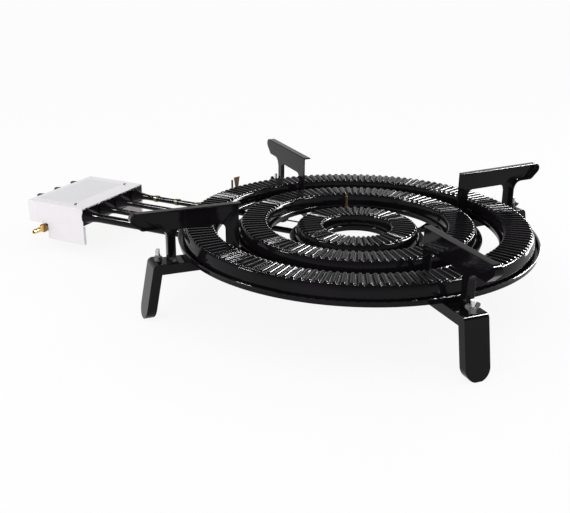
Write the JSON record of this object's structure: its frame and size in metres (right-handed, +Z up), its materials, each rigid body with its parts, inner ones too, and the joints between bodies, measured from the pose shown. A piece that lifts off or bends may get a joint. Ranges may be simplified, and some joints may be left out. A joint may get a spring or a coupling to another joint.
{
  "type": "paella gas burner",
  "caption": "Large low gas burner for paella pans: ribbed black enamelled rings, four pan supports, bolted legs and a white control box with turning knobs.",
  "frame": {"origin": "middle of the part's bounding box in X and Y, on the ground under the feet", "axes": "+X from the control box towards the rings, along the box's axis; +Y to the left of someone who stands at the knobs; +Z up"},
  "size_m": [0.9563, 0.615, 0.174],
  "materials": {
    "black_enamel": "gloss",
    "white_enamel": "gloss",
    "zinc": "satin",
    "steel": "satin",
    "brass": "satin",
    "copper": "satin",
    "black_plastic": "matte"
  },
  "bodies": {
    "burner": {"outer_cover": "black_enamel", "middle_cover": "black_enamel", "inner_cover": "black_enamel", "outer_pan": "black_enamel", "middle_pan": "black_enamel", "inner_pan": "black_enamel", "arm_front_left": "black_enamel", "arm_front_right": "black_enamel", "arm_rear_left": "black_enamel", "arm_rear_right": "black_enamel", "support_front_left": "black_enamel", "support_front_right": "black_enamel", "support_rear_left": "black_enamel", "support_rear_right": "black_enamel", "leg_front_left": "black_enamel", "leg_front_right": "black_enamel", "leg_rear_left": "black_enamel", "leg_rear_right": "black_enamel", "leg_bolts": "zinc", "support_bolts": "zinc", "ring_nuts": "zinc", "inner_ring_straps": "black_enamel", "middle_mixer": "black_enamel", "inner_mixer": "black_enamel", "outer_mixer": "black_enamel", "outer_mixer_thick": "black_enamel", "control_frame": "black_enamel", "box_cover": "white_enamel", "cover_screws": "zinc", "gas_rail": "zinc", "rail_plug": "brass", "valve_middle": "brass", "valve_inner": "brass", "valve_outer": "brass", "valve_nuts": "zinc", "injectors": "brass", "branch_pipe": "copper", "inlet_nut": "brass", "hose_barb": "brass", "outer_sensor": "copper", "inner_sensor": "copper", "outer_sensor_lead": "copper", "inner_sensor_lead": "copper", "lead_clips": "zinc"},
    "push_middle": {"collar_middle": "steel"},
    "push_inner": {"collar_inner": "steel"},
    "push_outer": {"collar_outer": "steel"},
    "tap_middle": {"knob_middle": "black_plastic", "spindle_middle": "steel"},
    "tap_inner": {"knob_inner": "black_plastic", "spindle_inner": "steel"},
    "tap_outer": {"knob_outer": "black_plastic", "spindle_outer": "steel"},
    "nut_front_left": {"wing_nut_front_left": "zinc"},
    "nut_front_right": {"wing_nut_front_right": "zinc"},
    "nut_rear_left": {"wing_nut_rear_left": "zinc"},
    "nut_rear_right": {"wing_nut_rear_right": "zinc"}
  },
  "joints": [
    {"name": "push_middle", "type": "slide", "parent": "burner", "child": "push_middle", "axis": [1, 0, 0], "range_m": [0, 0.004], "stiffness_N_per_m": 1500, "springref_m": -0.003},
    {"name": "turn_middle", "type": "hinge", "parent": "push_middle", "child": "tap_middle", "pos_m": [-0.46, 0.0535, 0.067], "axis": [-1, 0, 0], "range_deg": [0, 180]},
    {"name": "push_inner", "type": "slide", "parent": "burner", "child": "push_inner", "axis": [1, 0, 0], "range_m": [0, 0.004], "stiffness_N_per_m": 1500, "springref_m": -0.003},
    {"name": "turn_inner", "type": "hinge", "parent": "push_inner", "child": "tap_inner", "pos_m": [-0.46, 0.0035, 0.067], "axis": [-1, 0, 0], "range_deg": [0, 180]},
    {"name": "push_outer", "type": "slide", "parent": "burner", "child": "push_outer", "axis": [1, 0, 0], "range_m": [0, 0.004], "stiffness_N_per_m": 1500, "springref_m": -0.003},
    {"name": "turn_outer", "type": "hinge", "parent": "push_outer", "child": "tap_outer", "pos_m": [-0.46, -0.0465, 0.067], "axis": [-1, 0, 0], "range_deg": [0, 180]},
    {"name": "spin_nut_front_left", "type": "hinge", "parent": "burner", "child": "nut_front_left", "pos_m": [-0.08667, 0.21068, 0.096], "axis": [0, 0, 1], "continuous": true},
    {"name": "spin_nut_front_right", "type": "hinge", "parent": "burner", "child": "nut_front_right", "pos_m": [-0.04838, -0.26518, 0.096], "axis": [0, 0, 1], "continuous": true},
    {"name": "spin_nut_rear_left", "type": "hinge", "parent": "burner", "child": "nut_rear_left", "pos_m": [0.37718, 0.27174, 0.096], "axis": [0, 0, 1], "continuous": true},
    {"name": "spin_nut_rear_right", "type": "hinge", "parent": "burner", "child": "nut_rear_right", "pos_m": [0.43804, -0.23117, 0.096], "axis": [0, 0, 1], "continuous": true}
  ]
}
